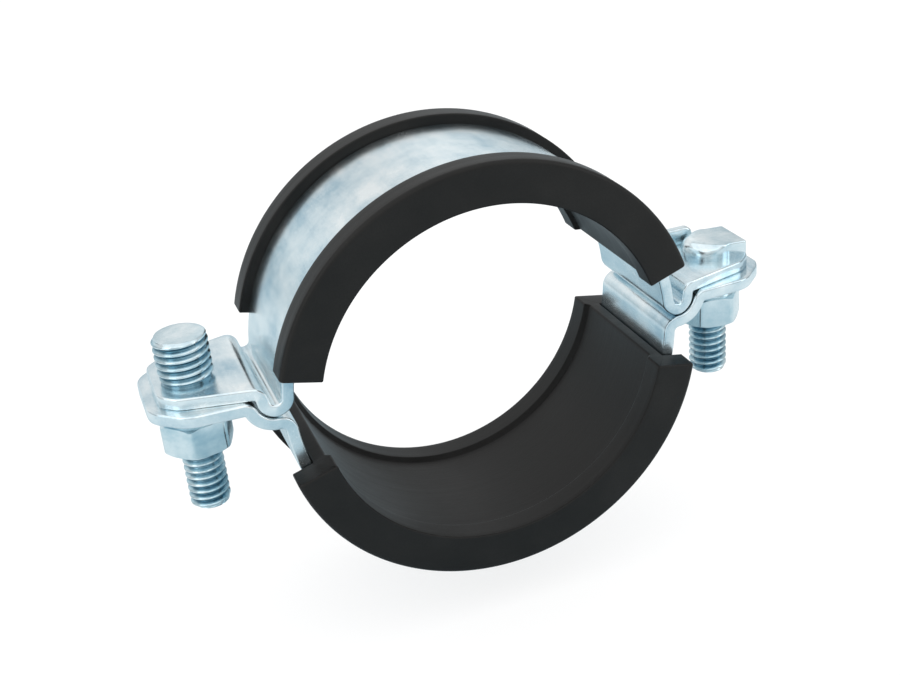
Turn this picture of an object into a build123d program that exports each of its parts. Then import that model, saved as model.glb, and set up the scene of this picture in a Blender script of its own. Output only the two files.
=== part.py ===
from build123d import *
from math import asin, atan2, cos, degrees, radians, sin, sqrt, tan
import os

# Two-bolt pipe clamp with a rubber lining, in millimetres. X runs along the
# ears, Y along the pipe and Z up. The origin is the centre of the pipe bore.

# Lining
bore_radius = 34.3              # inner edge of the lips, where the pipe sits
lip_height = 0.9                # how far the lips stand in from the floor
lip_width = 5.0                 # along the pipe
lip_slope = 1.0                 # along the pipe, from a lip down to the floor
web_thickness = 2.8             # floor of the lining, between pipe and strap
flange_thickness = 5.4          # along the pipe, outside each strap edge
flange_outer_radius = 42.4
flange_round = 0.9
upper_liner_end_height = 11.9   # its cut ends, above the bore's centre
lower_liner_end_height = 9.8    # its cut ends, below the bore's centre
liner_turn = 2.5                # degrees, how far both linings have crept round in the straps
strap_seat_gap = 0.1            # between lining and strap

# Straps
strap_thickness = 2.4
strap_width = 28.2
joint_height = 4.5              # the ears meet this far above the bore's centre
fold_inner_radius = 1.1         # inside of the groove folded into the upper strap
ear_bend = 0.3                  # inside radius where an ear leaves its fold
nest_gap = 0.3                  # between the upper fold and the lower strap
lower_bend = 1.0                # inside radius where the lower strap turns down

# Ears
bolt_spacing = 110.0
bolt_offset = 1.4               # the bolts stand this far towards the front edge
upper_ear_reach = 6.6           # from a bolt's axis to the end of the ear
upper_ear_width = 19.6          # where the taper ends, at the clipped corners
upper_ear_end_width = 13.6
lower_ear_reach = 8.8
lower_ear_width = 26.4
lower_ear_end_width = 15.0
lower_ear_clip = 6.2            # length of the clipped corners, along X
upper_ear_clip = 3.2
bolt_hole_clearance = 0.25

# Stud on the left: a large thread above the ears, a small one through them
stud_radius = 5.2
stud_height = 9.0               # above the upper ear
stud_chamfer = 0.9
thread_radius = 3.95
thread_end_depth = 22.4         # below the lower ear
thread_point = 1.1

# Nuts
nut_across_flats = 12.4
nut_height = 6.2
nut_corner_cut = 0.8            # how far the end chamfers reach in from a corner
nut_corner_angle = 30.0         # degrees, slope of those chamfers
nut_clearance = 0.05            # running fit on the thread
nut_collar_radius = 5.5
nut_collar_height = 1.6
stud_nut_gap = 1.6              # the nuts are backed off the lower ears by these
side_nut_gap = 2.2
stud_nut_turn = 12.0            # degrees, how each nut stands at rest
side_nut_turn = -12.0

# Head of the right bolt: round, with a square toe that runs out to the ear's end
head_radius = 5.4
head_height = 3.4
head_toe_height = 2.6           # its top slopes down a little to the toe
head_toe_width = 9.8

# Lip turned up from the right ear, behind the head, with the ear cut away beyond it
lip_reach = 3.4                 # above the ear
lip_length = 8.0
lip_round = 1.6                 # its upper corners
lip_thickness = 1.9
lip_x = 51.2                    # middle of the lip
lip_y = 4.8                     # its face towards the head, from the ear's middle line

# Values worked out from the sizes above
floor_radius = bore_radius + lip_height
web_outer_radius = floor_radius + web_thickness
strap_inner_radius = web_outer_radius + strap_seat_gap
half_thickness = strap_thickness / 2
centre_radius = strap_inner_radius + half_thickness
lining_half_width = strap_width / 2 + strap_seat_gap + flange_thickness
upper_ear_middle = joint_height + half_thickness
lower_ear_middle = joint_height - half_thickness
upper_ear_top = joint_height + strap_thickness
lower_ear_bottom = joint_height - strap_thickness
bolt_x = bolt_spacing / 2
shank_hole_radius = thread_radius + bolt_hole_clearance
nut_corner_radius = nut_across_flats / 2 / cos(radians(30))

# Centres of the tangent arcs that the straps' middle lines follow, right side
fold_radius = fold_inner_radius + half_thickness
bend_radius = ear_bend + half_thickness
fold_z = upper_ear_middle - bend_radius
fold_x = sqrt((centre_radius + fold_radius) ** 2 - fold_z**2)
fold_angle = degrees(atan2(fold_z, fold_x))
nest_radius = fold_radius + strap_thickness + nest_gap
knee_z = lower_ear_middle - bend_radius
knee_x = fold_x + sqrt((nest_radius + bend_radius) ** 2 - (fold_z - knee_z) ** 2)
knee_angle = degrees(atan2(knee_z - fold_z, knee_x - fold_x))
turn_radius = lower_bend + half_thickness


def crossing(first, first_radius, second, second_radius):
    """Lower crossing of two circles with their centres at first and second."""
    dx, dz = second[0] - first[0], second[1] - first[1]
    apart = sqrt(dx**2 + dz**2)
    along = (first_radius**2 - second_radius**2 + apart**2) / (2 * apart)
    across = sqrt(first_radius**2 - along**2)
    x = first[0] + (along * dx + across * dz) / apart
    z = first[1] + (along * dz - across * dx) / apart
    return x, z


turn_x, turn_z = crossing(
    (0, 0), centre_radius + turn_radius, (fold_x, fold_z), nest_radius + turn_radius
)
turn_start = degrees(atan2(turn_z - fold_z, turn_x - fold_x))
turn_end = degrees(atan2(turn_z, turn_x))


def arc(centre, radius, start, end):
    """Arc about a centre, anticlockwise from one angle to another in degrees."""
    return CenterArc(centre, radius, start, end - start)


def upper_face(away, end_x):
    """Half of one face of the upper strap, from its crown to the ear's end.

    away is the distance from the strap's middle line, positive on the side
    that faces away from the pipe.
    """
    bend_x = fold_x + fold_radius + bend_radius
    ear_z = upper_ear_middle + away
    arc((0, 0), centre_radius + away, fold_angle, 90)
    arc((fold_x, fold_z), fold_radius - away, 180 + fold_angle, 360)
    arc((bend_x, fold_z), bend_radius + away, 90, 180)
    Line((bend_x, ear_z), (end_x, ear_z))


def lower_face(away, end_x):
    """The same for the lower strap, from the ear's end to its lowest point."""
    ear_z = lower_ear_middle - away
    Line((end_x, ear_z), (knee_x, ear_z))
    arc((knee_x, knee_z), bend_radius - away, 90, 180 + knee_angle)
    arc((fold_x, fold_z), nest_radius + away, turn_start, knee_angle)
    arc((turn_x, turn_z), turn_radius - away, 180 + turn_start, 180 + turn_end)
    arc((0, 0), centre_radius + away, -90, turn_end)


def make_strap(face, crown, ear_z, reach, clip, ear_width, end_width):
    """Bend a flat strip along one of the faces above and trim its ears."""
    end_x = bolt_x + reach
    with BuildPart() as strap:
        with BuildSketch(Plane.XZ):
            with BuildLine():
                face(half_thickness, end_x)
                face(-half_thickness, end_x)
                Line((end_x, ear_z - half_thickness), (end_x, ear_z + half_thickness))
                Line((0, crown * (centre_radius - half_thickness)),
                     (0, crown * (centre_radius + half_thickness)))
            make_face()
            mirror(about=Plane.YZ)
        extrude(amount=strap_width / 2, both=True)
        with BuildSketch(Plane.XY):
            with BuildLine():
                Polyline(
                    (0, -strap_width / 2),
                    (fold_x, -strap_width / 2),
                    (end_x - clip, -ear_width / 2),
                    (end_x, -end_width / 2),
                    (end_x, end_width / 2),
                    (end_x - clip, ear_width / 2),
                    (fold_x, strap_width / 2),
                    (0, strap_width / 2),
                    close=True,
                )
            make_face()
            mirror(about=Plane.YZ)
        extrude(amount=2 * flange_outer_radius, both=True, mode=Mode.INTERSECT)
        with Locations((-bolt_x, -bolt_offset, ear_z), (bolt_x, -bolt_offset, ear_z)):
            Cylinder(shank_hole_radius, 2 * strap_thickness, mode=Mode.SUBTRACT)
    return strap.part


def make_lining(start_angle, end_height):
    """Rubber channel over half the bore, turned about the pipe's axis."""
    cut_angle = degrees(asin(end_height / flange_outer_radius))
    turn = radians(start_angle + liner_turn + cut_angle)
    section = Plane(
        origin=(0, 0, 0),
        x_dir=(cos(turn), 0, sin(turn)),
        z_dir=(-sin(turn), 0, cos(turn)),
    )
    edge = lining_half_width
    seat = strap_width / 2 + strap_seat_gap
    with BuildPart() as lining:
        with BuildSketch(section):
            with BuildLine():
                Polyline(
                    (floor_radius, 0),
                    (floor_radius, edge - lip_width - lip_slope),
                    (bore_radius, edge - lip_width),
                    (bore_radius, edge),
                    (flange_outer_radius - flange_round, edge),
                )
                RadiusArc(
                    (flange_outer_radius - flange_round, edge),
                    (flange_outer_radius, edge - flange_round),
                    flange_round,
                )
                Polyline(
                    (flange_outer_radius, edge - flange_round),
                    (flange_outer_radius, seat),
                    (web_outer_radius, seat),
                    (web_outer_radius, 0),
                    (floor_radius, 0),
                )
            make_face()
            mirror(about=Plane.XZ)
        revolve(axis=Axis((0, 0, 0), (0, -1, 0)), revolution_arc=180 - 2 * cut_angle)
    return lining.part


def make_nut(collar_z, turn):
    """Hexagon nut with a collar on top, its corners cut at both ends."""
    top_z = collar_z - nut_collar_height
    cut_drop = nut_corner_cut * tan(radians(nut_corner_angle))
    with BuildPart() as nut:
        with BuildSketch(Plane.XY.offset(top_z - nut_height)):
            RegularPolygon(nut_corner_radius, 6, rotation=turn)
        extrude(amount=nut_height)
        with BuildSketch(Plane.XZ):
            with BuildLine():
                inner = nut_corner_radius - nut_corner_cut
                low = top_z - nut_height
                Polyline(
                    (0, low), (inner, low), (nut_corner_radius, low + cut_drop),
                    (nut_corner_radius, top_z - cut_drop), (inner, top_z), (0, top_z),
                    close=True,
                )
            make_face()
        revolve(axis=Axis.Z, mode=Mode.INTERSECT)
        with Locations((0, 0, top_z + nut_collar_height / 2)):
            Cylinder(nut_collar_radius, nut_collar_height)
        with Locations((0, 0, collar_z - nut_height / 2)):
            Cylinder(thread_radius + nut_clearance, 2 * nut_height, mode=Mode.SUBTRACT)
    return nut.part


def upright_plane(x):
    """Plane through a bolt's axis, seen from the front."""
    return Plane(origin=(x, -bolt_offset, 0), x_dir=(1, 0, 0), z_dir=(0, -1, 0))


def shank_outline():
    """Half outline of the small thread, from its point up to the upper ear."""
    end_z = lower_ear_bottom - thread_end_depth
    Polyline((0, upper_ear_top), (0, end_z), (thread_radius - thread_point, end_z))
    RadiusArc(
        (thread_radius - thread_point, end_z),
        (thread_radius, end_z + thread_point),
        -thread_point,
    )
    Line((thread_radius, end_z + thread_point), (thread_radius, upper_ear_top))


os.makedirs("parts", exist_ok=True)

with BuildPart() as upper_strap:
    add(make_strap(upper_face, 1, upper_ear_middle, upper_ear_reach,
                   upper_ear_clip, upper_ear_width, upper_ear_end_width))
    cut_start = lip_x - lip_length / 2
    cut_end = bolt_x + upper_ear_reach
    cut_edge = lip_y + lip_thickness
    with BuildSketch(Plane.XY.offset(joint_height)):
        with Locations((cut_start, cut_edge)):
            Rectangle(cut_end - cut_start, strap_width / 2, align=(Align.MIN, Align.MIN))
    extrude(amount=strap_thickness, mode=Mode.SUBTRACT)
    lip_plane = Plane(origin=(lip_x, lip_y, joint_height), x_dir=(-1, 0, 0), z_dir=(0, 1, 0))
    with BuildSketch(lip_plane):
        with Locations((0, (strap_thickness + lip_reach) / 2)):
            lip = Rectangle(lip_length, strap_thickness + lip_reach)
        fillet(lip.vertices(), lip_round)
    extrude(amount=lip_thickness)
upper_strap.part.label = "upper_strap"
export_step(upper_strap.part, "parts/upper_strap.step")

with BuildPart() as lower_strap:
    add(make_strap(lower_face, -1, lower_ear_middle, lower_ear_reach,
                   lower_ear_clip, lower_ear_width, lower_ear_end_width))
lower_strap.part.label = "lower_strap"
export_step(lower_strap.part, "parts/lower_strap.step")

with BuildPart() as upper_liner:
    add(make_lining(0, upper_liner_end_height))
upper_liner.part.label = "upper_liner"
export_step(upper_liner.part, "parts/upper_liner.step")

with BuildPart() as lower_liner:
    add(make_lining(180, lower_liner_end_height))
lower_liner.part.label = "lower_liner"
export_step(lower_liner.part, "parts/lower_liner.step")

with BuildPart() as stud_bolt:
    with BuildSketch(upright_plane(-bolt_x)):
        with BuildLine():
            shank_outline()
            Polyline(
                (thread_radius, upper_ear_top),
                (stud_radius, upper_ear_top),
                (stud_radius, upper_ear_top + stud_height - stud_chamfer),
                (stud_radius - stud_chamfer, upper_ear_top + stud_height),
                (0, upper_ear_top + stud_height),
                (0, upper_ear_top),
            )
        make_face()
    revolve(axis=Axis((-bolt_x, -bolt_offset, 0), (0, 0, 1)))
stud_bolt.part.label = "stud_bolt"
export_step(stud_bolt.part, "parts/stud_bolt.step")

with BuildPart() as side_bolt:
    with BuildSketch(upright_plane(bolt_x)):
        with BuildLine():
            shank_outline()
            Line((thread_radius, upper_ear_top), (0, upper_ear_top))
        make_face()
    revolve(axis=Axis((bolt_x, -bolt_offset, 0), (0, 0, 1)))
    with BuildSketch(Plane.XY.offset(upper_ear_top)):
        with Locations((bolt_x, -bolt_offset)):
            Circle(head_radius)
        with Locations((bolt_x + upper_ear_reach / 2, -bolt_offset)):
            Rectangle(upper_ear_reach, head_toe_width)
    extrude(amount=head_height)
    slope = Plane(
        origin=(bolt_x - head_radius, 0, upper_ear_top + head_height),
        x_dir=(head_radius + upper_ear_reach, 0, head_toe_height - head_height),
        z_dir=(head_height - head_toe_height, 0, head_radius + upper_ear_reach),
    )
    split(bisect_by=slope, keep=Keep.BOTTOM)
side_bolt.part.label = "side_bolt"
export_step(side_bolt.part, "parts/side_bolt.step")

with BuildPart() as stud_nut:
    with Locations((-bolt_x, -bolt_offset, 0)):
        add(make_nut(lower_ear_bottom - stud_nut_gap, stud_nut_turn))
stud_nut.part.label = "stud_nut"
export_step(stud_nut.part, "parts/stud_nut.step")

with BuildPart() as side_nut:
    with Locations((bolt_x, -bolt_offset, 0)):
        add(make_nut(lower_ear_bottom - side_nut_gap, side_nut_turn))
side_nut.part.label = "side_nut"
export_step(side_nut.part, "parts/side_nut.step")
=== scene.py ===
import math
import bpy
import numpy as np
from mathutils import Matrix, Vector


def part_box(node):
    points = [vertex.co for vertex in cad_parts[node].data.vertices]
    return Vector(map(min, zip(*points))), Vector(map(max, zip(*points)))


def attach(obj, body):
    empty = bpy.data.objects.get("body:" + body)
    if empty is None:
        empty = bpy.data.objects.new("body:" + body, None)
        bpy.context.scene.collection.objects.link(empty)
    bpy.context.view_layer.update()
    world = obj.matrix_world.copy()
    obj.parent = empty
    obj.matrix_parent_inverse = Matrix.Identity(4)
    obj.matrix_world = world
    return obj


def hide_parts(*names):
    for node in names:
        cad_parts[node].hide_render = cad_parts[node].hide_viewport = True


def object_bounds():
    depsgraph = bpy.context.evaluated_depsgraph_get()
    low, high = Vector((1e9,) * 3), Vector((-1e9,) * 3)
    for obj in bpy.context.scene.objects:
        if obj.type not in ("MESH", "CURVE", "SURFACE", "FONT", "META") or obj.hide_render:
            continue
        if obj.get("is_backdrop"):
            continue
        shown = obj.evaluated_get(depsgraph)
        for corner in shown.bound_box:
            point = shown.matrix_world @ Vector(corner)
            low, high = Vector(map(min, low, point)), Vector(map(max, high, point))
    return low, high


# Rubber lined pipe clamp: two lined straps, hooked together at their folds, with a stud
# on the left and a headed bolt on the right. Sizes of the pieces and of the camera's
# place are millimetres in the frame of the CAD part. Looks, floor and lights are in metres.
mm = 0.001
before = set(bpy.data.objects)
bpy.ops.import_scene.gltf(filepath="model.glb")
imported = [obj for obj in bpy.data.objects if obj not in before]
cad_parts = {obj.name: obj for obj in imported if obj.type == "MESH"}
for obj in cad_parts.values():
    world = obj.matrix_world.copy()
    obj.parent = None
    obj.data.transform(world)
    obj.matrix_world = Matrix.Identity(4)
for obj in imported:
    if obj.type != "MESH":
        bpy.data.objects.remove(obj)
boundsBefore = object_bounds()

meshSettings = {"decimals": 7, "sharpAngle": 38.0}


# Puts a grid of points and quads in as one smooth mesh piece. Points that lie together
# are made one, a quad with a doubled corner becomes a triangle, and corners stay sharp.
def putIn(name, grid, body, nodes, material, rootShade=None):
    points = grid[0].reshape(-1, 3) * mm
    rounded = np.round(points, meshSettings["decimals"])
    _, index, back = np.unique(rounded, axis=0, return_index=True, return_inverse=True)
    faces = back.reshape(-1)[grid[1].reshape(-1, 4)]
    doubled = faces == np.roll(faces, 1, axis=1)
    folded = (faces[:, 0] == faces[:, 2]) | (faces[:, 1] == faces[:, 3])
    four = (doubled.sum(1) == 0) & ~folded
    three = (doubled.sum(1) == 1) & ~folded
    triangles = faces[three][~doubled[three]].reshape(-1, 3)
    mesh = bpy.data.meshes.new(name)
    mesh.from_pydata(points[index].tolist(), [], faces[four].tolist() + triangles.tolist())
    mesh.validate()
    mesh.polygons.foreach_set("use_smooth", [True] * len(mesh.polygons))
    mesh.set_sharp_from_angle(angle=math.radians(meshSettings["sharpAngle"]))
    # the thread's painted root shade, kept as a point attribute for the material
    if rootShade is not None:
        mesh.attributes.new("rootShade", "FLOAT", "POINT").data.foreach_set("value", rootShade[index])
    obj = bpy.data.objects.new(name, mesh)
    bpy.context.scene.collection.objects.link(obj)
    mesh.materials.append(material)
    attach(obj, body)
    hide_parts(*nodes)
    print("piece", name, len(mesh.polygons), "faces")


# Quads of a grid of rows x columns points, which can be closed round either way.
def gridFaces(rows, columns, closeRows=False, closeColumns=False, flip=False):
    r = np.arange(rows if closeRows else rows - 1)
    c = np.arange(columns if closeColumns else columns - 1)
    r, c = np.meshgrid(r, c, indexing="ij")
    nextRow, nextColumn = (r + 1) % rows, (c + 1) % columns
    corners = [(r, c), (r, nextColumn), (nextRow, nextColumn), (nextRow, c)]
    quads = np.stack([row * columns + column for row, column in corners], -1).reshape(-1, 4)
    return quads[:, ::-1] if flip else quads


# Several grids as one, each with its faces counted on from the one before.
def joined(grids):
    points = [grid[0].reshape(-1, 3) for grid in grids]
    starts = np.cumsum([0] + [len(p) for p in points[:-1]])
    return np.concatenate(points), np.concatenate([grid[1] + start for grid, start in zip(grids, starts)])


def arcPoints(centre, radius, start, end, count):
    angle = np.radians(np.linspace(start, end, count))
    return np.stack([centre[0] + radius * np.cos(angle), centre[1] + radius * np.sin(angle)], -1)


# An outline with its corners rounded, each by a rational quadratic arc whose weight is
# the sine of half the corner's angle. Radius 0 leaves a corner sharp.
def softCorner(corners, radii, steps, closed=False):
    corners = np.asarray(corners, float)
    count = len(corners)
    out = []
    for i, (corner, radius) in enumerate(zip(corners, radii)):
        toBefore, toAfter = corners[i - 1] - corner, corners[(i + 1) % count] - corner
        lengths = np.linalg.norm(toBefore), np.linalg.norm(toAfter)
        half = math.acos(np.clip(np.dot(toBefore, toAfter) / (lengths[0] * lengths[1]), -1, 1)) / 2
        cut = min(radius / max(math.tan(half), 1e-6), 0.49 * lengths[0], 0.49 * lengths[1])
        isEnd = not closed and i in (0, count - 1)
        if isEnd or cut < 1e-6:
            out.append(corner[None])
            continue
        start, end = corner + toBefore / lengths[0] * cut, corner + toAfter / lengths[1] * cut
        t = np.linspace(0, 1, steps)[:, None]
        weight = math.sin(half)
        blend = (1 - t) ** 2 * start + 2 * weight * t * (1 - t) * corner + t**2 * end
        out.append(blend / ((1 - t) ** 2 + 2 * weight * t * (1 - t) + t**2))
    return np.concatenate(out)


# Points added along a path so that no step is longer than the spacing.
def resample(path, spacing):
    steps = np.diff(path, axis=0)
    counts = np.ceil(np.linalg.norm(steps, axis=1) / spacing).astype(int).clip(1)
    which = np.repeat(np.arange(len(steps)), counts)
    number = np.arange(counts.sum()) - (np.cumsum(counts) - counts)[which] + 1
    return np.concatenate([path[:1], path[which] + steps[which] * (number / counts[which])[:, None]])


# Unit vectors to the left of a closed outline.
def leftOf(outline):
    tangent = np.roll(outline, -1, 0) - np.roll(outline, 1, 0)
    tangent /= np.linalg.norm(tangent, axis=1, keepdims=True)
    return np.stack([-tangent[:, 1], tangent[:, 0]], -1)


# A shader output that can stand in sums, so that node maths reads as maths.
class Socket:
    def __init__(self, tree, out):
        self.tree = tree
        self.out = out

    # Any other node fed by this output: its settings or ramp stops first, then the
    # values or links of its inputs. An inlet of None leaves it unfed.
    def node(self, kind, outlet=0, inlet=0, settings=None, stops=(), **inputs):
        made = self.tree.nodes.new(kind)
        for key, value in (settings or {}).items():
            setattr(made, key, value)
        for _ in stops[2:]:  # a ramp starts with two stops
            made.color_ramp.elements.new(0.5)
        for number, (place, colour) in enumerate(stops):
            made.color_ramp.elements[number].position = place
            made.color_ramp.elements[number].color = (*colour, 1)
        links = {key.replace("_", " "): value for key, value in inputs.items()}
        if inlet is not None:
            links[inlet] = self
        for key, value in links.items():
            self.feed(made.inputs[key], value)
        return Socket(self.tree, made.outputs[outlet])

    def feed(self, target, value):
        if isinstance(value, Socket):
            self.tree.links.new(value.out, target)
        else:
            target.default_value = value

    def maths(self, kind, other=0.0, swap=False):
        made = self.node("ShaderNodeMath", inlet=None, settings={"operation": kind})
        for place, value in enumerate([other, self] if swap else [self, other]):
            self.feed(made.out.node.inputs[place], value)
        return made

    def __add__(self, other):
        return self.maths("ADD", other)

    def __sub__(self, other):
        return self.maths("SUBTRACT", other)

    def __mul__(self, other):
        return self.maths("MULTIPLY", other)

    def __radd__(self, other):
        return self.maths("ADD", other, swap=True)

    def __rsub__(self, other):
        return self.maths("SUBTRACT", other, swap=True)

    def __rmul__(self, other):
        return self.maths("MULTIPLY", other, swap=True)

    def clamp(self):
        return self.maths("MAXIMUM", 0.0).maths("MINIMUM", 1.0)


def newMaterial(name):
    material = bpy.data.materials.new(name)
    material.use_nodes = True
    tree = material.node_tree
    coords = Socket(tree, tree.nodes.new("ShaderNodeTexCoord").outputs["Object"])
    return material, tree.nodes["Principled BSDF"].inputs, coords


def noise(coords, scale, detail, rough):
    return coords.node("ShaderNodeTexNoise", inlet="Vector", Scale=scale, Detail=detail, Roughness=rough)


def stretched(coords, scale):
    return coords.node("ShaderNodeMapping", inlet="Vector", Scale=scale)


# Blue bright zinc. Tone is shares of broad clouds, drawn lines and fine speckle, less a
# share of painted shade in the thread's roots, where the flanks keep the light out.
def zincMaterial(name, look):
    material, shader, coords = newMaterial(name)
    clouds, speckle = noise(coords, *look["clouds"]), noise(coords, *look["speckle"])
    lines = noise(stretched(coords, look["drawnScale"]), *look["drawn"])
    attribute = {"attribute_name": "rootShade"}
    rootShade = coords.node("ShaderNodeAttribute", outlet="Fac", inlet=None, settings=attribute)
    cloudShare, lineShare, speckleShare = look["shares"]
    # the thread's roots are darkened with painted shade
    tone = clouds * cloudShare + lines * lineShare + speckle * speckleShare - rootShade * look["rootShadeAmount"]
    coords.feed(shader["Base Color"], tone.clamp().node("ShaderNodeValToRGB", stops=look["colours"]))
    shader["Metallic"].default_value = 1.0
    rough = look["roughness"] + (speckle - 0.5) * look["roughSpread"] + (clouds - 0.5) * look["roughSpread"]
    coords.feed(shader["Roughness"], rough.clamp())
    height = speckle * look["speckleDepth"] + lines * look["lineDepth"]
    bump = height.node("ShaderNodeBump", inlet="Height", Strength=look["bump"], Distance=look["bumpDepth"])
    coords.feed(shader["Normal"], bump)
    return material


# Black extruded rubber: matt, with faint streaks that follow the extrusion and fine grain.
def rubberMaterial(name, look):
    material, shader, coords = newMaterial(name)
    streaks = noise(stretched(coords, look["streakScale"]), *look["streaks"])
    grain, clouds = noise(coords, *look["grain"]), noise(coords, *look["clouds"])
    streakShare, cloudShare, grainShare = look["shares"]
    tone = streaks * streakShare + clouds * cloudShare + grain * grainShare
    coords.feed(shader["Base Color"], tone.clamp().node("ShaderNodeValToRGB", stops=look["colours"]))
    rough = look["roughness"] + (clouds - 0.5) * look["cloudRough"] + (streaks - 0.5) * look["streakRough"]
    coords.feed(shader["Roughness"], rough.clamp())
    shader["Specular IOR Level"].default_value = look["specular"]
    height = grain * look["grainDepth"] + streaks * look["streakDepth"]
    bump = height.node("ShaderNodeBump", inlet="Height", Strength=look["bump"], Distance=look["bumpDepth"])
    coords.feed(shader["Normal"], bump)
    return material


# Each noise is given as its scale, detail and roughness.
plateLook = {
    "clouds": (90.0, 3.0, 0.55), "speckle": (2600.0, 4.0, 0.7),
    "drawn": (1.0, 5.0, 0.65), "drawnScale": (240, 60, 240),
    "shares": (0.55, 0.3, 0.15), "rootShadeAmount": 0.0,
    "colours": [(0.36, (0.38, 0.55, 0.65)), (0.50, (0.71, 0.82, 0.865)), (0.62, (0.92, 0.97, 0.98))],
    "roughness": 0.22, "roughSpread": 0.18,
    "speckleDepth": 0.4, "lineDepth": 0.5, "bump": 0.09, "bumpDepth": 0.0002,
}
hardwareLook = {
    "clouds": (160.0, 3.0, 0.55), "speckle": (3200.0, 4.0, 0.7),
    "drawn": (1.0, 5.0, 0.65), "drawnScale": (300, 300, 500),
    # the last value here is the painted shade in the thread's roots, and the darkest colours below are
    # mostly reached there
    "shares": (0.55, 0.3, 0.15), "rootShadeAmount": 0.42,
    "colours": [(0.08, (0.08, 0.19, 0.26)), (0.35, (0.44, 0.62, 0.70)),
                (0.50, (0.68, 0.80, 0.845)), (0.64, (0.88, 0.95, 0.97))],
    "roughness": 0.20, "roughSpread": 0.16,
    "speckleDepth": 0.4, "lineDepth": 0.3, "bump": 0.05, "bumpDepth": 0.0002,
}
rubberLook = {
    "streaks": (1.0, 3.0, 0.6), "streakScale": (30, 900, 30),
    "grain": (2400.0, 3.0, 0.6), "clouds": (70.0, 3.0, 0.6), "shares": (0.35, 0.45, 0.2),
    "colours": [(0.34, (0.0045, 0.0042, 0.0038)), (0.52, (0.0078, 0.0073, 0.0067)),
                (0.70, (0.0135, 0.0127, 0.0118))],
    "roughness": 0.42, "cloudRough": 0.22, "streakRough": 0.15, "specular": 0.24,
    "grainDepth": 0.5, "streakDepth": 0.5, "bump": 0.22, "bumpDepth": 0.0002,
}
zincPlate = zincMaterial("zincPlate", plateLook)
zincHardware = zincMaterial("zincHardware", hardwareLook)
rubber = rubberMaterial("rubber", rubberLook)
print("stage materials done")

strapSize = {
    "centreRadius": 39.3, "halfThickness": 1.2, "halfWidth": 14.1, "joint": 4.5,
    "foldRadius": 2.3, "bendRadius": 1.5, "turnRadius": 2.2, "nestGap": 0.3,
    "boltX": 55.0, "boltY": -1.4, "hole": 4.2, "edge": 0.42, "edgeSteps": 5, "acrossSteps": 15,
    "cutStart": 47.2, "cutEdge": 6.7, "cutStep": 0.02,  # room beside the head of the side bolt
    "foldRound": 4.0, "straightPast": 6.0,  # past the fold by this much, the ear is straight
    "upper": {"reach": 6.6, "clip": 3.2, "half": 9.8, "endHalf": 6.8, "round": 4.5, "endRound": 4.0},
    "lower": {"reach": 8.8, "clip": 6.2, "half": 13.2, "endHalf": 7.5, "round": 6.0, "endRound": 6.0},
    "steps": {"ring": 76, "fold": 26, "bend": 12, "turn": 14, "nest": 22, "corner": 9,
              "beforeHole": 8, "hole": 33, "pastHole": 12, "end": 6},
}


# Lower crossing of two circles.
def crossing(first, firstRadius, second, secondRadius):
    dx, dz = second[0] - first[0], second[1] - first[1]
    apart = math.hypot(dx, dz)
    along = (firstRadius**2 - secondRadius**2 + apart**2) / (2 * apart)
    across = math.sqrt(firstRadius**2 - along**2)
    return first[0] + (along * dx + across * dz) / apart, first[1] + (along * dz - across * dx) / apart


# Half outline of an ear seen from above, as x and half width, with its corners rounded.
def earOutline(size, ear, foldX, endX):
    corners = [(0, size["halfWidth"]), (foldX, size["halfWidth"]), (endX - ear["clip"], ear["half"]),
               (endX, ear["endHalf"]), (endX, 0)]
    radii = [0, size["foldRound"], ear["round"], ear["endRound"], 0]
    line = softCorner(corners, radii, size["steps"]["corner"])[:-1]
    return line[np.concatenate([[True], np.diff(line[:, 0]) > 1e-6])]


# Where the ear has cross sections along X: close round the bolt hole and at the rounded
# end, and one at each point of the outline.
def earStations(size, earStart, endX, extra):
    hole, edge, steps = size["hole"], size["edge"], size["steps"]
    stations = np.concatenate([
        np.linspace(earStart, size["boltX"] - hole, steps["beforeHole"])[1:-1],
        size["boltX"] - hole * np.cos(np.linspace(0, np.pi, steps["hole"])),
        np.linspace(size["boltX"] + hole, endX - edge, steps["pastHole"])[1:],
        endX - edge + edge * np.sin(np.linspace(0, np.pi / 2, steps["end"])[1:]),
        extra,
    ])
    return np.unique(np.round(stations, 4))


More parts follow.
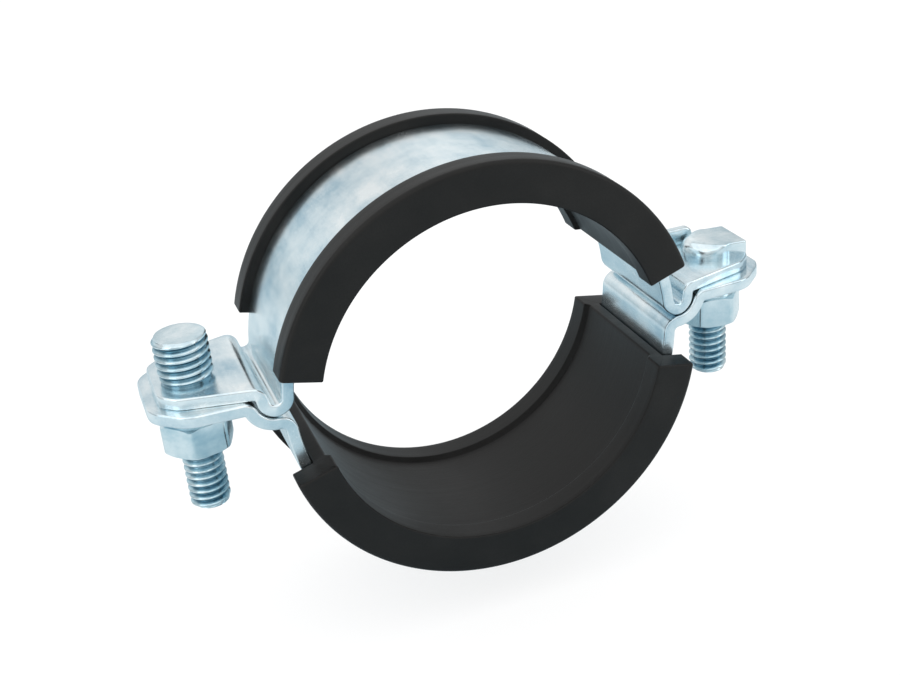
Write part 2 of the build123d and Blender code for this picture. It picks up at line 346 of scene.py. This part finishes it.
# Middle line of a strap's right half, from its crown to the ear's end: tangent arcs,
# each begun where the one before ends, then the straight ear.
def strapPath(size, upper):
    ring, half = size["centreRadius"], size["halfThickness"]
    fold, bend = size["foldRadius"], size["bendRadius"]
    steps = size["steps"]
    ear = size["upper" if upper else "lower"]
    endX = size["boltX"] + ear["reach"]
    foldZ = size["joint"] + half - bend
    foldX = math.sqrt((ring + fold) ** 2 - foldZ**2)
    foldAngle = math.degrees(math.atan2(foldZ, foldX))
    if upper:
        earStart, earZ = foldX + fold + bend, size["joint"] + half
        pieces = [
            arcPoints((0, 0), ring, 90, foldAngle, steps["ring"]),
            arcPoints((foldX, foldZ), fold, 180 + foldAngle, 360, steps["fold"])[1:],
            arcPoints((earStart, foldZ), bend, 180, 90, steps["bend"])[1:],
        ]
    else:
        nest, turn = fold + 2 * half + size["nestGap"], size["turnRadius"]
        kneeZ = size["joint"] - half - bend
        earStart, earZ = foldX + math.sqrt((nest + bend) ** 2 - (foldZ - kneeZ) ** 2), size["joint"] - half
        kneeAngle = math.degrees(math.atan2(kneeZ - foldZ, earStart - foldX))
        turnX, turnZ = crossing((0, 0), ring + turn, (foldX, foldZ), nest + turn)
        turnStart = math.degrees(math.atan2(turnZ - foldZ, turnX - foldX))
        turnEnd = math.degrees(math.atan2(turnZ, turnX))
        pieces = [
            arcPoints((0, 0), ring, -90, turnEnd, steps["ring"]),
            arcPoints((turnX, turnZ), turn, 180 + turnEnd, 180 + turnStart, steps["turn"])[1:],
            arcPoints((foldX, foldZ), nest, turnStart, kneeAngle, steps["nest"])[1:],
            arcPoints((earStart, kneeZ), bend, 180 + kneeAngle, 90, steps["bend"])[1:],
        ]
    outline = earOutline(size, ear, foldX, endX)
    extra = outline[(outline[:, 0] > earStart) & (outline[:, 0] < endX), 0]
    if upper:
        extra = np.append(extra, [size["cutStart"], size["cutStart"] + size["cutStep"]])
    stations = earStations(size, earStart, endX, extra)
    pieces.append(np.stack([stations, np.full(len(stations), earZ)], -1))
    return np.concatenate(pieces), outline, foldX, endX


# A strip of sheet swept along its middle line, in a front and a back half that part
# round each bolt hole. Each station is a loop of (y, n): point = path + n * normal, with
# n = half thickness on the faces and a quarter circle over each edge.
def makeStrap(size, upper):
    half, outline, foldX, endX = strapPath(size, upper)
    path = np.concatenate([(half * [-1, 1])[::-1], half[1:]])
    tangent = np.gradient(path, axis=0)
    tangent /= np.maximum(np.linalg.norm(tangent, axis=1, keepdims=True), 1e-9)
    tangent[np.abs(path[:, 0]) > foldX + size["straightPast"]] = [1, 0]
    normal = np.stack([-tangent[:, 1], tangent[:, 0]], -1)
    x = np.abs(path[:, 0])
    width = np.interp(x, outline[:, 0], outline[:, 1])
    edge, thick = size["edge"], size["halfThickness"]
    pastEdge = np.clip((x - (endX - edge)) / edge, 0, 1)
    inset = edge * (1 - np.sqrt(1 - pastEdge**2))  # the ends are rounded too
    reach = np.clip(size["hole"] ** 2 - (x - size["boltX"]) ** 2, 0, None) ** 0.5
    parted = (reach[:-1] > 1e-6) | (reach[1:] > 1e-6)
    across = np.linspace(0, 1, size["acrossSteps"])
    turn = np.linspace(0, np.pi / 2, size["edgeSteps"] + 1)[1:]
    grids = []
    for side in (-1, 1):
        flipSide = side > 0
        inner = size["boltY"] + side * reach
        outer = width.copy()
        if upper and side > 0:
            outer[path[:, 0] > size["cutStart"] + size["cutStep"] / 2] = size["cutEdge"]
        outer = side * (outer - inset)
        flatEdge = outer - side * edge
        faceY = inner[:, None] + (flatEdge - inner)[:, None] * across
        faceN = np.repeat((thick - inset)[:, None], len(across), 1)
        edgeY = flatEdge[:, None] + side * edge * np.sin(turn)
        edgeN = (thick - inset)[:, None] - edge + edge * np.cos(turn)
        y = np.concatenate([faceY, edgeY, edgeY[:, ::-1], faceY[:, ::-1]], 1)
        n = np.concatenate([faceN, edgeN, -edgeN[:, ::-1], -faceN], 1)
        points = np.stack([path[:, :1] + normal[:, :1] * n, y, path[:, 1:] + normal[:, 1:] * n], -1)
        rows, columns = n.shape
        grids.append((points, gridFaces(rows, columns, flip=flipSide)))
        wall = np.stack([points[:, -1], points[:, 0]], 1)  # the bolt hole's wall
        grids.append((wall, gridFaces(rows, 2, flip=flipSide)[parted]))
        for row, flip in ((0, not flipSide), (-1, flipSide)):  # the blunt middle of each end
            ends = np.stack([points[row, :columns // 2], points[row, :columns // 2 - 1:-1]])
            grids.append((ends, gridFaces(2, columns // 2, flip=flip)))
    return joined(grids)


lipSize = {
    "x": 51.2, "y": 4.8, "thickness": 1.9, "length": 8.0, "reach": 3.4, "round": 1.6, "roundSteps": 9,
    "soft": 0.5, "softSteps": 5, "bottom": 6.0, "earTop": 6.9,
}


# Rounded rectangle swept through the lip's thickness. Each loop is the outline drawn in
# by inset, which follows a quarter circle at the front and at the back.
def makeLip(size):
    half, low, high = size["length"] / 2, size["bottom"], size["earTop"] + size["reach"]
    corners = [(half, low), (half, high), (-half, high), (-half, low)]
    radii = [0, size["round"], size["round"], 0]
    outline = softCorner(corners, radii, size["roundSteps"], closed=True)
    middle = np.array([0, (low + high) / 2])
    direction = outline - middle
    direction /= np.abs(direction).max(1, keepdims=True)
    turn = np.linspace(0, np.pi / 2, size["softSteps"])
    inset, depth = size["soft"] * (1 - np.sin(turn)), size["soft"] * (1 - np.cos(turn))
    inset = np.concatenate([inset, inset[::-1]])
    depth = np.concatenate([[0.0], depth, size["thickness"] - depth[::-1], [size["thickness"]]])
    centre = np.repeat(middle[None, None], len(outline), 1)
    loops = np.concatenate([centre, outline - direction * inset[:, None, None], centre])
    y = np.repeat(size["y"] + depth[:, None], len(outline), 1)
    points = np.stack([size["x"] + loops[..., 0], y, loops[..., 1]], -1)
    return points, gridFaces(len(points), len(outline), closeColumns=True, flip=True)


putIn("upperStrapShow", makeStrap(strapSize, True), "upper_half", ["upper_strap"], zincPlate)
putIn("earLip", makeLip(lipSize), "upper_half", [], zincPlate)
putIn("lowerStrapShow", makeStrap(strapSize, False), "lower_half", ["lower_strap"], zincPlate)
print("stage straps done")

liningSize = {
    "bore": 34.3, "lip": 0.9, "lipWidth": 5.0, "slope": 1.0, "web": 2.8,
    "flange": 42.4, "half": 19.6, "seat": 14.2,
    "slopeRound": 0.5, "inRound": 0.35, "flangeRound": 0.9, "seatRound": 0.3, "webRound": 0.2,
    "turn": 2.5, "upperEnd": 11.9, "lowerEnd": 9.8, "endRound": 0.45,
    "roundSteps": 6, "endSteps": 6, "stations": 150, "spacing": 1.2,
}


# Outline of the lining's channel section, as radius and y, from the bore side over one
# flange, across the strap's seat and over the other flange.
def liningSection(size):
    bore, flange, half, seat = size["bore"], size["flange"], size["half"], size["seat"]
    floor, slopeEnd = bore + size["lip"], half - size["lipWidth"]
    web = floor + size["web"]
    corners = [(floor, 0), (floor, slopeEnd - size["slope"]), (bore, slopeEnd), (bore, half),
               (flange, half), (flange, seat), (web, seat), (web, 0)]
    radii = [0, size["slopeRound"], size["slopeRound"], size["inRound"], size["flangeRound"],
             size["seatRound"], size["webRound"], 0]
    side = softCorner(corners, radii, size["roundSteps"])[1:-1]
    loop = np.concatenate([side, (side * [1, -1])[::-1], side[:1]])
    return resample(loop, size["spacing"])[:-1], web


# Matching points for a flat end: the bore side of the outline and its strap side, both
# from one flange's rim to the other's. Points match by depth in the flanges and by y in
# the web.
def endPairs(size, loop, web):
    rims = np.array([[size["flange"], s * (size["half"] + size["seat"]) / 2] for s in (1, -1)])
    first, last = [np.argmin(np.hypot(*(loop - rim).T)) for rim in rims]
    ahead = np.arange(first, first + len(loop) + 1) % len(loop)
    split = (last - first) % len(loop)
    sides = [ahead[:split + 1], ahead[split:][::-1]]
    halfWay = size["flange"] - web + size["seat"]
    marks = []
    for side in sides:
        radius, y = loop[side].T
        depth = size["flange"] - np.maximum(radius, web)
        inFlange = np.where(y > 0, depth, 2 * halfWay - depth)
        mark = np.where(np.abs(y) < size["seat"], halfWay - y, inFlange)
        # a little more at each point, so that none are level
        marks.append(mark + np.linspace(0, 1e-3, len(mark)))
    order = np.sort(np.concatenate(marks))
    places = [np.searchsorted(mark, order, "right").clip(1) - 1 for mark in marks]
    return np.array([side[place] for side, place in zip(sides, places)])


# The section swept about the bore's axis: point = (radius cos, y, radius sin). Near both
# ends the outline draws in along a quarter circle, and a flat end closes it.
def makeLining(size, start, endHeight):
    loop, web = liningSection(size)
    cut = math.asin(endHeight / size["flange"])
    first = math.radians(start + size["turn"]) + cut
    last = math.radians(start + 180 + size["turn"]) - cut
    soft = np.linspace(0, np.pi / 2, size["endSteps"])
    drawn = size["endRound"] / size["flange"]
    middle = np.linspace(first + drawn, last - drawn, size["stations"])[1:-1]
    opening = first + drawn - drawn * np.sin(soft[::-1])
    closing = last - drawn + drawn * np.sin(soft)
    angles = np.concatenate([opening, middle, closing])
    inset = size["endRound"] * (1 - np.cos(soft))
    insets = np.concatenate([inset[::-1], np.zeros(len(middle)), inset])
    area = np.sum(loop[:, 0] * np.roll(loop[:, 1], -1) - np.roll(loop[:, 0], -1) * loop[:, 1])
    section = loop + leftOf(loop) * np.sign(area) * insets[:, None, None]
    radius, y = section[..., 0], section[..., 1]
    points = np.stack([radius * np.cos(angles)[:, None], y, radius * np.sin(angles)[:, None]], -1)
    grids = [(points, gridFaces(len(angles), len(loop), closeColumns=True, flip=area < 0))]
    pairs = endPairs(size, loop, web)
    for row, flip in ((0, area > 0), (-1, area < 0)):
        grids.append((points[row][pairs], gridFaces(2, pairs.shape[1], flip=flip)))
    return joined(grids)


upperLining = makeLining(liningSize, 0, liningSize["upperEnd"])
lowerLining = makeLining(liningSize, 180, liningSize["lowerEnd"])
putIn("upperLiningShow", upperLining, "upper_half", ["upper_liner"], rubber)
putIn("lowerLiningShow", lowerLining, "lower_half", ["lower_liner"], rubber)
print("stage linings done")

boltSize = {
    "x": 55.0, "y": -1.4, "earTop": 6.9, "earBottom": 2.1, "around": 120, "perPitch": 16,
    "thread": 3.95, "pitch": 1.5, "depth": 0.78, "endDepth": 22.4, "point": 1.1, "pointTrim": 0.02,
    "stud": 5.2, "studPitch": 1.5, "studDepth": 0.62, "studHeight": 9.0, "studChamfer": 0.9,
    "studNeck": 0.35, "neckRadius": 4.7, "runOut": 0.7, "sink": 0.5, "extraRows": 8,
    # shares of half a pitch, and the smoothed share of the wave
    "crestFlat": 0.12, "flank": 0.76, "softness": 0.45,
    # shares of the rounded ends that have no painted root shade, and how near counts as level
    "plainPoint": 0.8, "plainTop": 0.6, "levelSlack": 0.001,
}


# Right-handed thread: radius = crest - depth * wave, where the wave is a triangle of
# z / pitch - angle / turn with flat crests and roots, part of it smoothed.
def threadRadius(size, z, angle, crest, pitch, depth):
    wave = np.abs(2 * ((z / pitch - angle / (2 * np.pi)) % 1.0) - 1)
    wave = np.clip((wave - size["crestFlat"]) / size["flank"], 0, 1)
    wave = wave * wave * (3 - 2 * wave) * size["softness"] + wave * (1 - size["softness"])
    return crest - depth * wave


def ringAngles(size):
    return np.linspace(0, 2 * np.pi, size["around"], endpoint=False)


# Surface round a bolt's axis: point = (x + radius cos, y + radius sin, z), where the
# radius is a function of z and the angle.
def turned(size, x, z, radius):
    angle = ringAngles(size)
    r = radius(z[:, None], angle[None, :])
    height = np.repeat(z[:, None], len(angle), 1)
    points = np.stack([x + r * np.cos(angle), size["y"] + r * np.sin(angle), height], -1)
    return points, gridFaces(len(z), len(angle), closeColumns=True)


# Flat disc between a ring and the bolt's axis, at the given shares of the ring's radius.
def disc(size, x, ring, shares):
    centre = np.array([x, size["y"], ring[0, 2]])
    points = centre + (ring - centre) * np.reshape(shares, (-1, 1, 1))
    return points, gridFaces(len(shares), len(ring), closeColumns=True)


# Small thread under the ears, from its rounded point up to a flat end inside the upper ear.
def lowerThread(size, x):
    low, high, point = size["earBottom"] - size["endDepth"], size["earTop"], size["point"]
    z = np.linspace(low, high, int((high - low) / size["pitch"] * size["perPitch"]))

    def radius(height, angle):
        thread = threadRadius(size, height, angle, size["thread"], size["pitch"], size["depth"])
        rise = np.clip((height - low) / point, 0, 1)
        pointed = size["thread"] - point + point * np.sqrt(1 - (1 - rise) ** 2)
        return np.minimum(thread, pointed - size["pointTrim"] * (1 - rise))

    body = turned(size, x, z, radius)
    return [body, disc(size, x, body[0][0], [0.0, 0.5, 1.0]), disc(size, x, body[0][-1], [1.0, 0.0])]


# Large thread above the ears: a plain neck, the thread's run-out, its crests and a
# rounded rim, closed by flat discs.
def studThread(size, x):
    base, top = size["earTop"] - size["sink"], size["earTop"] + size["studHeight"]
    rows = int(size["studHeight"] / size["studPitch"] * size["perPitch"]) + size["extraRows"]
    chamfer, neck = size["studChamfer"], size["neckRadius"]

    def radius(height, angle):
        thread = threadRadius(size, height, angle, size["stud"], size["studPitch"], size["studDepth"])
        run = np.clip((height - size["earTop"] - size["studNeck"]) / size["runOut"], 0, 1)
        left = np.clip((top - height) / chamfer, 0, 1)
        rounded = size["stud"] - chamfer + chamfer * np.sqrt(1 - (1 - left) ** 2)
        return np.minimum(neck + (thread - neck) * run, rounded)

    body = turned(size, x, np.linspace(base, top, rows), radius)
    return [body, disc(size, x, body[0][-1], [1.0, 0.6, 0.0]), disc(size, x, body[0][0], [0.0, 1.0])]


# How deep each point lies in a thread, 0 at the crests, 1 at the roots and 0 elsewhere: the mask of painted
# shade in the roots.
def threadShadeMask(size, points, x, studded):
    apart = np.hypot(points[:, 0] - x, points[:, 1] - size["y"])
    z = points[:, 2]
    threadStart = size["earBottom"] - size["endDepth"] + size["plainPoint"] * size["point"]
    studEnd = size["earTop"] + size["studHeight"] - size["plainTop"] * size["studChamfer"]
    low = (z > threadStart) & (z < size["earTop"] - size["levelSlack"])
    high = (z > size["earTop"] + size["levelSlack"]) & (z < studEnd) & studded
    depth = np.where(low, (size["thread"] - apart) / size["depth"], 0.0)
    return np.clip(np.where(high, (size["stud"] - apart) / size["studDepth"], depth), 0, 1)


headSize = {
    "radius": 5.4, "height": 3.4, "toeHeight": 2.6, "toeWidth": 9.8, "reach": 6.6,
    "roundEdge": 2.7, "toeEdge": 0.4, "blendStart": 2.6, "blendLength": 6.4, "toeRound": 0.5,
    "sweepSteps": 60, "toeSteps": 6, "edgeSteps": 9, "spacing": 0.45, "fill": (0.66, 0.33, 0.0),
}


# Round head with a square toe. Loops of the outline are drawn in along a quarter circle
# towards the top, far at the round end and little at the toe, and the top slopes to the toe.
def makeHead(size, bolt):
    centre, base = np.array([bolt["x"], bolt["y"]]), bolt["earTop"]
    radius, half, reach = size["radius"], size["toeWidth"] / 2, size["reach"]
    join = math.asin(half / radius)
    joinX, joinTurn = radius * math.cos(join), math.degrees(join)
    sweep = arcPoints((0, 0), radius, joinTurn, 360 - joinTurn, size["sweepSteps"])
    corners = [(joinX, -half), (reach, -half), (reach, half), (joinX, half)]
    toe = softCorner(corners, [0, size["toeRound"], size["toeRound"], 0], size["toeSteps"])
    outline = resample(np.concatenate([sweep, toe[1:]]), size["spacing"])[:-1]
    slope = (size["toeHeight"] - size["height"]) / (reach + radius)
    blend = np.clip((size["blendStart"] - outline[:, 0]) / size["blendLength"], 0, 1)
    soft = size["toeEdge"] + (size["roundEdge"] - size["toeEdge"]) * (0.5 - 0.5 * np.cos(np.pi * blend))

    def topHeight(flat):
        return base + size["height"] + slope * (flat[..., 0] + radius)

    turn = np.linspace(0, np.pi / 2, size["edgeSteps"])[:, None]
    edge = outline + leftOf(outline) * (soft * (1 - np.cos(turn)))[..., None]
    top = edge[-1] * np.reshape(size["fill"], (-1, 1, 1))
    flat = np.concatenate([outline[None] * 0, outline[None], edge, top])
    level = np.full((2, len(outline)), base)
    z = np.concatenate([level, topHeight(edge) - soft * (1 - np.sin(turn)), topHeight(top)])
    return np.dstack([flat + centre, z]), gridFaces(len(flat), len(outline), closeColumns=True)


stud = joined(lowerThread(boltSize, -boltSize["x"]) + studThread(boltSize, -boltSize["x"]))
# mask of the painted shade in the stud's thread roots
studRootShade = threadShadeMask(boltSize, stud[0], -boltSize["x"], True)
putIn("studBoltShow", stud, "upper_half", ["stud_bolt"], zincHardware, studRootShade)
side = joined(lowerThread(boltSize, boltSize["x"]) + [makeHead(headSize, boltSize)])
# mask of the painted shade in the side bolt's thread roots
sideRootShade = threadShadeMask(boltSize, side[0], boltSize["x"], False)
putIn("sideBoltShow", side, "upper_half", ["side_bolt"], zincHardware, sideRootShade)
print("stage bolts done")

nutSize = {
    "y": -1.4, "flats": 12.4, "height": 6.2, "cut": 0.8, "slope": 30.0, "corner": 0.18,
    "bore": 4.0, "boreChamfer": 0.5, "boreSoft": 0.3,
    "collar": 5.5, "collarHeight": 1.6, "collarSoft": 0.25, "footOut": 0.12, "footUp": 0.15,
    "edgeIn": 0.05, "edgeUp": 0.02, "rimIn": 0.03, "rimSoft": 0.16, "around": 144,
    "left": {"x": -55.0, "top": 0.5, "turn": 12.0}, "right": {"x": 55.0, "top": -0.1, "turn": -12.0},
}


# Hexagon nut with a collar, as closed loops of radius and z round its axis. Flats have
# radius = half the flats / cos(angle from the flat's middle), and the end chamfers are
# cones: z = end -/+ (that radius - the cone's inner radius) * tan(slope).
def makeNut(size, place):
    angle = ringAngles(size)
    within = (np.degrees(angle) - place["turn"]) % 60 - 30
    full = size["flats"] / 2 / math.cos(math.radians(30))
    flat = np.minimum(size["flats"] / 2 / np.cos(np.radians(within)), full - size["corner"])
    inner = full - size["cut"]
    end, top = place["top"], place["top"] - size["collarHeight"]
    low = top - size["height"]
    drop = np.clip(flat - inner, 0, None) * math.tan(math.radians(size["slope"]))
    start = np.minimum(flat, inner)
    bore, collar, rimSoft = size["bore"], size["collar"], size["rimSoft"]
    rows = [
        (bore, low + size["boreChamfer"]), (bore + size["boreChamfer"], low),
        (start - size["edgeIn"], low), (start, low + size["edgeUp"]),
        (flat - size["rimIn"], low + drop), (flat, low + drop + rimSoft),
        (flat, top - drop - rimSoft), (flat - size["rimIn"], top - drop),
        (start, top - size["edgeUp"]), (start - size["edgeIn"], top),
        (collar + size["footOut"], top), (collar, top + size["footUp"]),
        (collar, end - size["collarSoft"]), (collar - size["collarSoft"], end),
        (bore + size["boreSoft"], end), (bore, end - size["boreSoft"]),
    ]
    radius, z = [np.array([row[k] + 0 * angle for row in rows]) for k in (0, 1)]
    points = [place["x"] + radius * np.cos(angle), size["y"] + radius * np.sin(angle), z]
    return np.stack(points, -1), gridFaces(len(rows), len(angle), closeRows=True, closeColumns=True)


studNut, sideNut = makeNut(nutSize, nutSize["left"]), makeNut(nutSize, nutSize["right"])
putIn("studNutShow", studNut, "left_nut", ["stud_nut"], zincHardware)
putIn("sideNutShow", sideNut, "right_nut", ["side_nut"], zincHardware)
print("stage nuts done")

# The floor lies under the lower half at the end of its drop.
floorSize = {
    "half": 3.0, "drop": 0.0104, "fade": 0.76, "near": 0.02, "ringShadeLength": 0.1, "farShare": 0.2,
    # tones run from white to the painted shade that metal mirrors from the floor under the ring
    "tones": [(0.0, (0.97, 0.97, 0.97)), (0.2, (0.56, 0.61, 0.63)), (1.0, (0.34, 0.44, 0.49))],
}


# White for the eye and for diffuse light, while metal mirrors it darker, with painted shade near
# the ring that stands in for its shadow. Part of the camera's view of it is plain white light, which leaves
# a faint shadow.
def floorMaterial(name, look):
    material, shader, coords = newMaterial(name)
    tree = material.node_tree
    path = tree.nodes.new("ShaderNodeLightPath").outputs
    glossy, seen = Socket(tree, path["Is Glossy Ray"]), Socket(tree, path["Is Camera Ray"])
    side = coords.node("ShaderNodeSeparateXYZ", outlet=0).maths("ABSOLUTE")
    # painted shade in reflections, darkest under the ring, standing in for its shadow
    near = (1.0 - (side - look["near"]) * (1 / look["ringShadeLength"])).clamp()
    reflectedShade = near * (1 - look["farShare"]) + look["farShare"]
    colour = (glossy * reflectedShade).node("ShaderNodeValToRGB", stops=look["tones"])
    coords.feed(shader["Base Color"], colour)
    shader["Roughness"].default_value = 1.0
    shader["Specular IOR Level"].default_value = 0.0
    plain = coords.node("ShaderNodeEmission", inlet=None, Color=(1, 1, 1, 1), Strength=1.0)
    mixed = (seen * look["fade"]).node("ShaderNodeMixShader")
    tree.links.new(tree.nodes["Principled BSDF"].outputs[0], mixed.out.node.inputs[1])
    tree.links.new(plain.out, mixed.out.node.inputs[2])
    tree.links.new(mixed.out, tree.nodes["Material Output"].inputs["Surface"])
    return material


floorZ = min(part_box(n)[0].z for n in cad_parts) - floorSize["drop"]
reach = floorSize["half"]
corners = [(x * reach, y * reach, floorZ) for x, y in ((-1, -1), (1, -1), (1, 1), (-1, 1))]
floorMesh = bpy.data.meshes.new("floor")
floorMesh.from_pydata(corners, [], [(0, 1, 2, 3)])
floorMesh.materials.append(floorMaterial("floorWhite", floorSize))
floor = bpy.data.objects.new("floor", floorMesh)
bpy.context.scene.collection.objects.link(floor)
floor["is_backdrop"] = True
print("stage floor done")

# Places and sizes in metres, powers in watts. All of them face the origin.
lightSettings = [
    {"name": "keyTop", "place": (-0.10, -0.10, 0.75), "size": (1.3, 1.3), "power": 3.2,
     "colour": (1.0, 1.0, 1.0)},
    {"name": "sideLeft", "place": (-0.65, -0.25, 0.25), "size": (0.35, 0.7), "power": 0.8,
     "colour": (0.94, 0.98, 1.0)},
    {"name": "sideRight", "place": (0.6, -0.35, 0.3), "size": (0.3, 0.6), "power": 0.6,
     "colour": (0.94, 0.98, 1.0)},
]


def placed(place, target, roll=0.0):
    turn = (Vector(target) - Vector(place)).to_track_quat("-Z", "Y").to_matrix().to_4x4()
    return Matrix.Translation(Vector(place)) @ turn @ Matrix.Rotation(math.radians(roll), 4, "Z")


for setting in lightSettings:
    light = bpy.data.lights.new(setting["name"], "AREA")
    light.shape = "RECTANGLE"
    light.size, light.size_y = setting["size"]
    light.energy = setting["power"]
    light.color = setting["colour"]
    lamp = bpy.data.objects.new(setting["name"], light)
    bpy.context.scene.collection.objects.link(lamp)
    lamp.matrix_world = placed(setting["place"], (0, 0, 0))
    lamp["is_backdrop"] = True
print("stage lights done")

# The world is plain white for the camera and for diffuse light. Metal mirrors a studio:
# bright above, greyer towards the horizon, with dark and light panels round it.
skyLook = {
    "plain": 1.12, "level": 1.02, "fall": 0.90,
    # turns round the horizon, phase and share of each cosine
    "panels": [(2.0, -3.3, 0.6), (7.0, 4.2, 0.4)],
    "tones": [(0.0, (0.55, 0.61, 0.64)), (0.46, (0.56, 0.65, 0.69)), (0.56, (0.82, 0.89, 0.92)),
              (0.72, (1.0, 1.0, 1.0)), (0.82, (0.86, 0.88, 0.89)), (0.97, (0.42, 0.45, 0.47))],
}


def makeWorld(name, look):
    world = bpy.data.worlds.new(name)
    world.use_nodes = True
    tree = world.node_tree
    tree.nodes.clear()
    direction = Socket(tree, tree.nodes.new("ShaderNodeTexCoord").outputs["Generated"])
    apart = direction.node("ShaderNodeSeparateXYZ").out.node.outputs
    across, depth, height = [Socket(tree, outlet) for outlet in apart]
    bearing = depth.maths("ARCTAN2", across)
    wide, narrow = [(bearing * turns + phase).maths("COSINE") * share
                    for turns, phase, share in look["panels"]]
    panels = (wide + narrow) * 0.5 + 0.5
    sky = (height * 0.5 + 0.5).clamp().node("ShaderNodeValToRGB", stops=look["tones"])
    level = look["level"] - (1.0 - height.maths("ABSOLUTE")) * (1.0 - panels) * look["fall"]
    studio = sky.node("ShaderNodeBackground", inlet="Color", Strength=level)
    plain = sky.node("ShaderNodeBackground", inlet=None, Color=(1, 1, 1, 1), Strength=look["plain"])
    glossy = Socket(tree, tree.nodes.new("ShaderNodeLightPath").outputs["Is Glossy Ray"])
    mixed = glossy.node("ShaderNodeMixShader")
    tree.links.new(plain.out, mixed.out.node.inputs[1])
    tree.links.new(studio.out, mixed.out.node.inputs[2])
    tree.links.new(mixed.out, tree.nodes.new("ShaderNodeOutputWorld").inputs["Surface"])
    return world


bpy.context.scene.world = makeWorld("studio", skyLook)
print("stage world done")

cameraSize = {"place": (-75.39, -226.16, 117.16), "target": (-2.56, 0.0, 0.91), "roll": -5.85,
              "lens": 52.92, "sensor": 36.0, "near": 0.01, "far": 20}
cameraData = bpy.data.cameras.new("camera")
cameraData.lens, cameraData.sensor_width = cameraSize["lens"], cameraSize["sensor"]
cameraData.clip_start, cameraData.clip_end = cameraSize["near"], cameraSize["far"]
camera = bpy.data.objects.new("camera", cameraData)
bpy.context.scene.collection.objects.link(camera)
place, target = Vector(cameraSize["place"]) * mm, Vector(cameraSize["target"]) * mm
camera.matrix_world = placed(place, target, cameraSize["roll"])
bpy.context.scene.camera = camera
bpy.context.scene.view_settings.view_transform = "Standard"

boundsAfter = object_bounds()
rounded = [[round(v, 5) for corner in bounds for v in corner] for bounds in (boundsBefore, boundsAfter)]
print("stage scene done, bounds before and after", *rounded)
